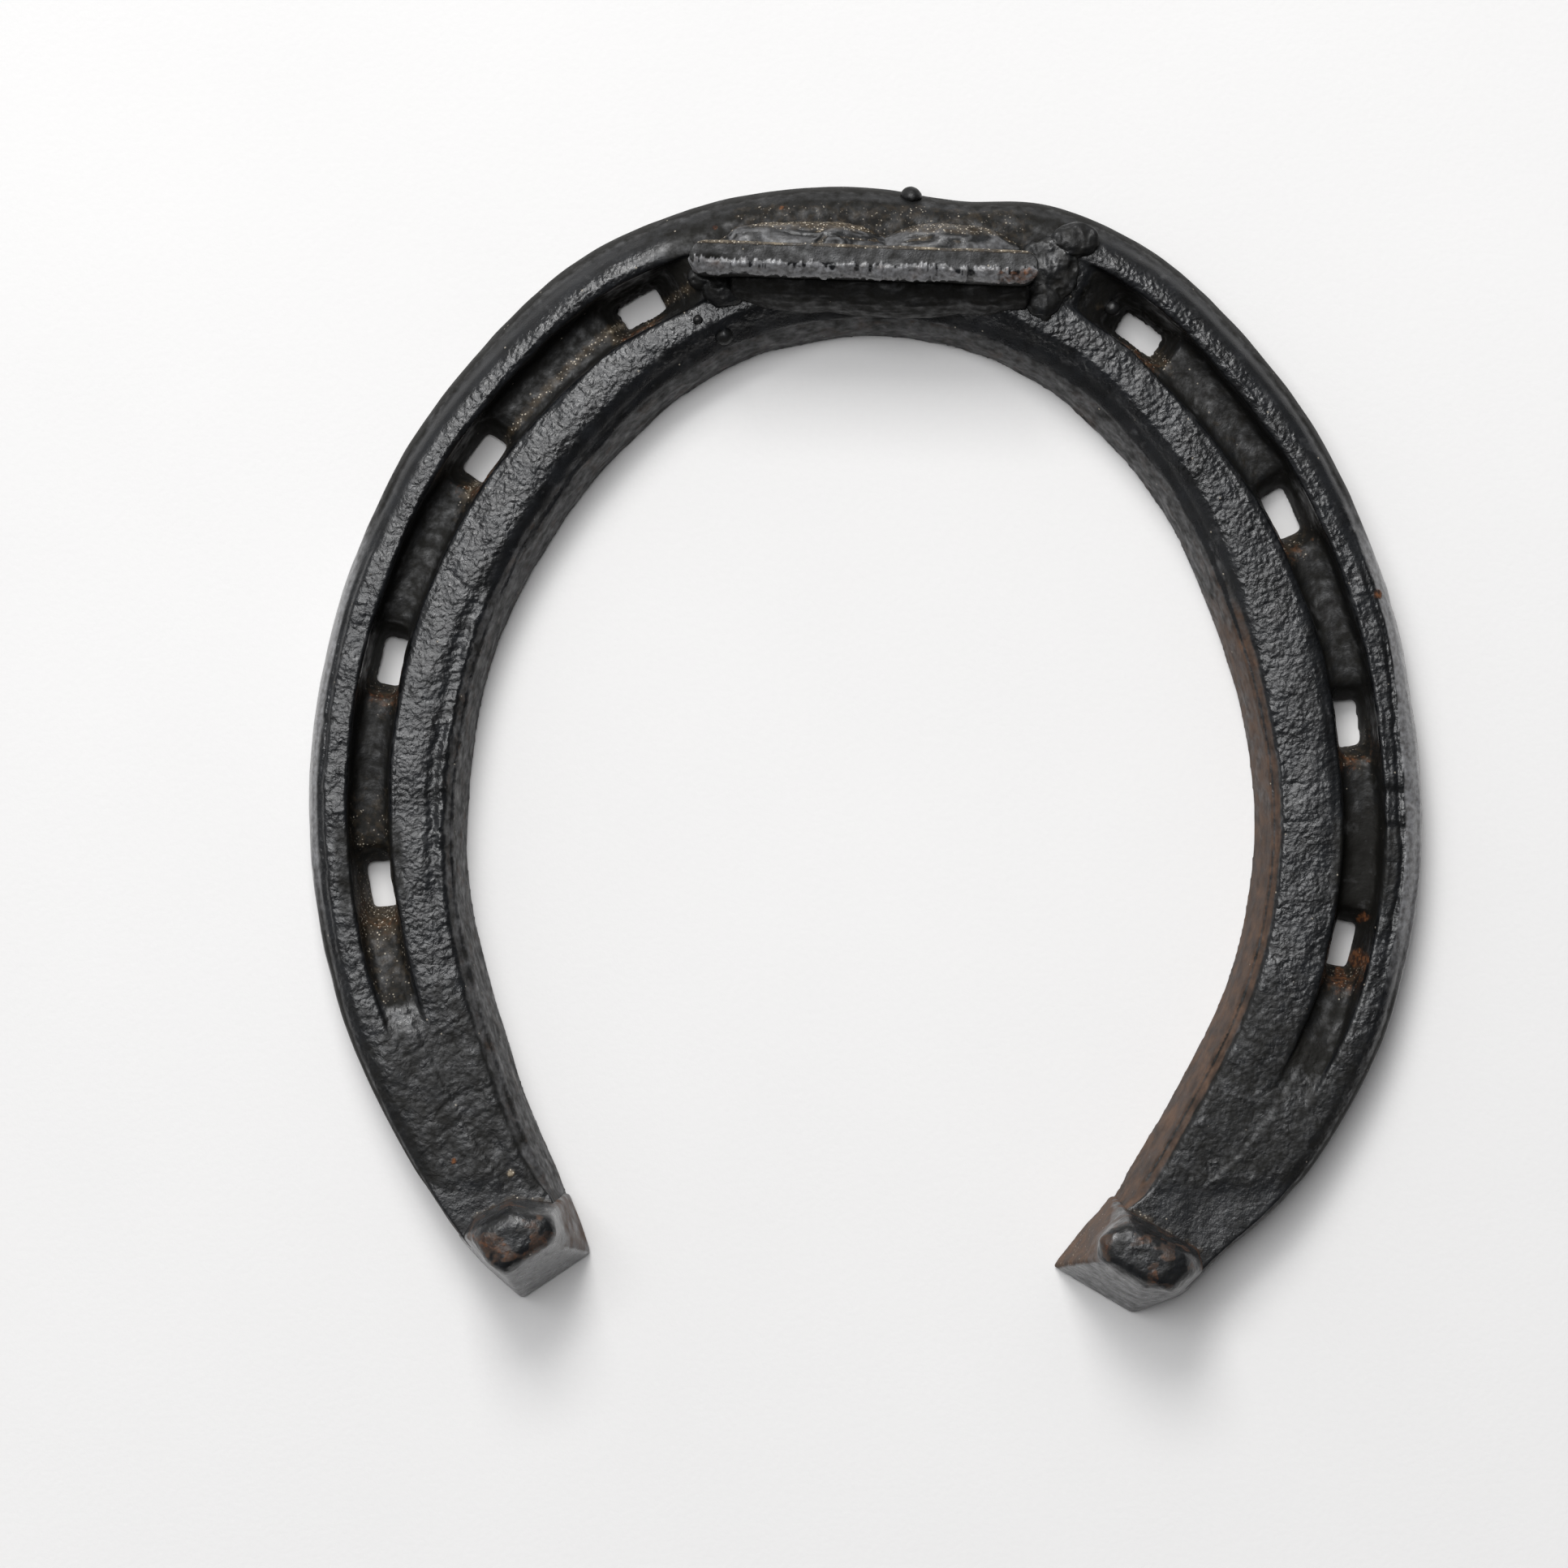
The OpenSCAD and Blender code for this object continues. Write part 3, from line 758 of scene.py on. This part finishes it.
def toe_bar(material):
    """The toe bar, with paint chipped off along its lower top edge, whose pale grey is also a painted glint,
    dust along the upper one, and its sides below the top darkened as painted shade.
    """
    piece = fine_copy("toe_bar", by_quality(0.16), 3, sink=0.5)
    p, normal = points_of(piece)
    own = TOE.own(p)
    top = ramp(own[:, 2], TOE.height - 0.6, TOE.height - 0.2)
    upper = ramp(own[:, 2], TOE.height - 2.6, TOE.height - 1.6)
    teeth = ridged(own, np.array([0.8, 2.4, 2.4]), 67, 2)
    chips = ramp(own[:, 1] - 0.5 * teeth + 0.2 * noise(own, 2.2, 77), -0.3, -0.7) * upper
    jagged = layered(own, np.array([2.2, 1.5, 1.5]), 69, 2)
    crater = np.exp(-((own[:, 0] + 0.88 * TOE.half_length) / 1.5) ** 2 - ((own[:, 1] + 0.6) / 0.6) ** 2)
    out = chips * (0.26 * teeth + 0.26 * jagged) - 0.35 * crater * upper
    out += 0.14 * layered(own, 5, 71, 3) + 0.02 * layered(own, 1.2, 73, 2)
    move_points(piece, p + normal * out[:, None])
    edge = top * ramp(own[:, 1], TOE.half_thick - 0.55, TOE.half_thick - 0.3)
    edge *= 0.8 + 0.3 * noise(own, 2.5, 75)
    right_end = ramp(own[:, 0], 0.55 * TOE.half_length, 0.85 * TOE.half_length)
    # worn marks the chipped edge, whose pale grey is worn paint and also a painted glint
    worn = chips * ramp(teeth, -0.1, 0.4) * ramp(own[:, 1], -2.1, -1.7)
    # The crater and the top take dirt; the sides below the top are darkened as painted shade
    dirt = 0.4 * crater + 0.7 * (1 - upper) + 0.4 * top * (1 - chips)
    dust = np.maximum(0.95 * edge, 0.1 * top)
    store(piece, pebble=0.12 * top + 0.6 * chips, dirt=dirt, rubbed=3.0 * worn, stain=0.2 * chips,
          rust=0.5 * right_end * chips, dust=dust)
    stands_for(piece, "toe_bar", material)


# How each weld flowed, in millimetres: grain along the bar, grain across it, height of the ripples, dust
WELDS = {
    "weld_outer_left": (7.0, 0.7, 0.22, 0.75),
    "weld_outer_right": (6.0, 1.2, 0.18, 0.65),
    "weld_inner_left": (5.0, 1.6, 0.14, 0.0),
    "weld_inner_middle": (5.0, 1.6, 0.14, 0.0),
    "weld_inner_right": (5.0, 1.6, 0.14, 0.0),
    "weld_end_left": (2.4, 2.0, 0.24, 0.15),
    "weld_end_right": (3.0, 2.4, 0.24, 0.1),
    "weld_spatter": (1.2, 1.2, 0.08, 0.0),
}
# How far the inner welds run into their neighbours
OVERLAP = 1.1
# How much of its height each end weld loses where it is highest
SQUASH = {"weld_end_left": 0.2, "weld_end_right": 0.45}


def lengthen(p, own):
    """Moves a weld's two ends along the toe bar, into its neighbours."""
    low, high = own[:, 0].min(), own[:, 0].max()
    shift = ramp(own[:, 0], high - 0.7, high - 0.3) - ramp(own[:, 0], low + 0.7, low + 0.3)
    p[:, :2] += OVERLAP * shift[:, None] * TOE.run


def weld(node, number, material):
    """A run or lump of weld metal, in strands that follow the toe bar."""
    along, across, ripple, dusty = WELDS[node]
    inner = "inner" in node
    outer = "outer" in node
    piece = fine_copy(node, by_quality(0.17), 5, swell=0.16)
    p, normal = points_of(piece)
    if inner:
        lengthen(p, TOE.own(p))
    own = TOE.own(p)
    bent = own + 0.8 * np.stack([noise(own, 3.5, 101 + k) for k in range(3)], axis=1)
    strands = ridged(bent, np.array([along, across, across]), 111 + (0 if inner else number), 2)
    lumps = layered(p, 2.6, 131, 3)
    if node in SQUASH:
        lumps -= 2.2 * pits(p, 2.4, 137, 0.55) - 0.8 * ridged(p, 1.5, 139, 2)
        p[:, 2] -= SQUASH[node] * np.clip(own[:, 2], 0, None)
    move_points(piece, p + normal * (ripple * (strands + 0.8 * lumps))[:, None])
    seam = ramp(strands, 0.25, -0.4)
    foot = ramp(own[:, 2], 1.0, 0.1)
    far_side = ramp(own[:, 1], TOE.half_thick + 1.6, TOE.half_thick + 2.8)
    dirt = 0.6 if inner else 0.4 + 0.2 * seam
    rubbed = 0.42 * ramp(strands, 0.1, 0.7) if outer else 0.0
    loose = np.maximum(foot, far_side) if outer else foot
    store(piece, pebble=0.05 if inner else 0.15, dirt=dirt, rubbed=rubbed, rust=0.25 * foot * dusty,
          dust=dusty * np.maximum(1.05 * seam, loose))
    stands_for(piece, node, material)


# ---- Heel calks ----

# How brown the inner face of each calk is, and how dirty its end face
CALKS = {"heel_calk_left": (0.3, 0.2), "heel_calk_right": (0.85, 0.3)}


def heel_calk(node, number, material):
    """A heel calk: a painted, rusty top over an end face and an inner face rubbed bare."""
    brown, dirty = CALKS[node]
    piece = fine_copy(node, by_quality(0.2), 32, swell=0.22, plant=planted)
    p, normal = points_of(piece)
    low, high = (corner.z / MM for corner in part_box(node))
    rise = (p[:, 2] - low) / (high - low) + 0.10 * layered(p, 2.5, 149, 2)
    end = end_face(p, normal) * ramp(rise, 0.92, 0.78)
    facing_in = -normal[:, 0] * np.sign(p[:, 0])
    inner = ramp(facing_in, 0.45, 0.75) * ramp(rise, 0.86, 0.70)
    bare = np.maximum(end, inner)
    lumps = layered(p, 2.6, 151 + number, 3)
    chips = ridged(p, 1.9, 161 + number, 2)
    streaks = layered(p, np.array([0.9, 0.9, 6.0]), 167, 2)
    above = ramp(rise, 0.0, 0.25)
    out = (0.12 * lumps + 0.05 * chips) * (1 - bare) * above + 0.02 * streaks * bare
    move_points(piece, p + normal * out[:, None])
    patches = ramp(layered(p, 1.9, 171 + number, 3), -0.05, 0.3)
    foot = ramp(rise, 0.3, 0.0) * (1 - end)
    painted = 1 - bare
    store(piece, pebble=0.4 * painted * above, dirt=0.3 * painted + dirty * end,
          rubbed=(0.76 - 0.42 * brown) * end + 0.45 * inner,
          stain=0.75 * brown * inner + 0.35 * foot + 0.45 * painted * patches,
          rust=0.38 * painted * patches, dust=0.2 * painted + 0.45 * brown * inner)
    stands_for(piece, node, material)


# ---- Stage, light and camera ----

FLOOR_HALF = 4.0
PAPER_DARK = (0.79, 0.783, 0.778, 1)
PAPER_PALE = (0.85, 0.843, 0.836, 1)


def floor():
    """A sheet of pale, faintly mottled paper under the hoof face."""
    corners = [(x * FLOOR_HALF, y * FLOOR_HALF, CAD_LOW.z) for x, y in ((-1, -1), (1, -1), (1, 1), (-1, 1))]
    mesh = bpy.data.meshes.new("floor")
    mesh.from_pydata(corners, [], [(0, 1, 2, 3)])
    sheet = bpy.data.objects.new("floor", mesh)
    bpy.context.scene.collection.objects.link(sheet)
    g = Graph("pale_paper")
    mottle = g.maths("ADD", g.maths("MULTIPLY", g.grain(40), 0.6), g.maths("MULTIPLY", g.grain(0.9), 0.4))
    g.set(g.shader.inputs["Base Color"], g.mix(mottle, PAPER_DARK, PAPER_PALE))
    g.shader.inputs["Roughness"].default_value = 0.7
    g.set(g.shader.inputs["Normal"], g.bump(g.grain(0.7), 0.05, 0.5))
    mesh.materials.append(g.material)


def lamp(name, place, side, watts, colour):
    """A square lamp that faces the middle of the shoe."""
    data = bpy.data.lights.new(name, "AREA")
    data.shape = "SQUARE"
    data.size = side
    data.energy = watts
    data.color = colour
    light = bpy.data.objects.new(name, data)
    light.location = Vector(place)
    light.rotation_euler = (CENTRE - light.location).to_track_quat("-Z", "Y").to_euler()
    bpy.context.scene.collection.objects.link(light)


LIT_SIDE = Vector((-0.6, 0.8, 0.1))
DARK_SIDE_GLOW, LIT_SIDE_GLOW = 0.05, 0.5
ROOM_COLOUR = (0.975, 0.98, 1.0, 1)
KEY_PLACE, KEY_SIDE, KEY_WATTS = (-0.18, 0.92, 1.08), 0.5, 10.5
KEY_COLOUR = (1, 0.995, 0.985)
OVERHEAD_PLACE, OVERHEAD_SIDE, OVERHEAD_WATTS = (-0.30, 0.40, 1.42), 0.9, 13.5
OVERHEAD_COLOUR = (0.985, 0.99, 1)


def studio():
    """A pale room, brighter on one side, with a lamp beyond the toe and a softer one above."""
    world = bpy.data.worlds.new("studio")
    world.use_nodes = True
    tree = world.node_tree
    toward = tree.nodes.new("ShaderNodeTexCoord").outputs["Generated"]
    facing = tree.nodes.new("ShaderNodeVectorMath")
    facing.operation = "DOT_PRODUCT"
    facing.inputs[1].default_value = LIT_SIDE.normalized()
    tree.links.new(toward, facing.inputs[0])
    glow = tree.nodes.new("ShaderNodeMapRange")
    glow.inputs["From Min"].default_value = -0.4
    glow.inputs["From Max"].default_value = 0.9
    glow.inputs["To Min"].default_value = DARK_SIDE_GLOW
    glow.inputs["To Max"].default_value = LIT_SIDE_GLOW
    tree.links.new(facing.outputs["Value"], glow.inputs["Value"])
    back = tree.nodes["Background"]
    back.inputs["Color"].default_value = ROOM_COLOUR
    tree.links.new(glow.outputs["Result"], back.inputs["Strength"])
    bpy.context.scene.world = world
    lamp("key", KEY_PLACE, KEY_SIDE, KEY_WATTS, KEY_COLOUR)
    lamp("overhead", OVERHEAD_PLACE, OVERHEAD_SIDE, OVERHEAD_WATTS, OVERHEAD_COLOUR)


# The camera looks straight down. FIELD is what it sees across, at FIELD_HEIGHT above the floor.
FIELD = 193.2 * MM
FIELD_HEIGHT = 1.5 * MM
CAMERA_HEIGHT = 0.70
SENSOR_WIDTH = 36
LOOK_OFF = Vector((-10.0, -4.15)) * MM


def camera():
    """The camera above the shoe, LOOK_OFF from its middle."""
    data = bpy.data.cameras.new("camera")
    data.sensor_width = SENSOR_WIDTH
    data.lens = data.sensor_width * (CAMERA_HEIGHT - FIELD_HEIGHT) / FIELD
    data.clip_start, data.clip_end = 0.05, 20
    eye = bpy.data.objects.new("camera", data)
    eye.location = (CENTRE.x + LOOK_OFF.x, CENTRE.y + LOOK_OFF.y, CAMERA_HEIGHT)
    bpy.context.scene.collection.objects.link(eye)
    bpy.context.scene.camera = eye
    bpy.context.scene.view_settings.view_transform = "Standard"


camera()
studio()
floor()
shoe_bar(weathered("shoe_paint"))
toe_bar(weathered("toe_bar_paint"))
weld_paint = weathered("weld_paint")
for number, node in enumerate(WELDS):
    weld(node, number, weld_paint)
calk_steel = weathered("calk_steel")
for number, node in enumerate(CALKS):
    heel_calk(node, number, calk_steel)
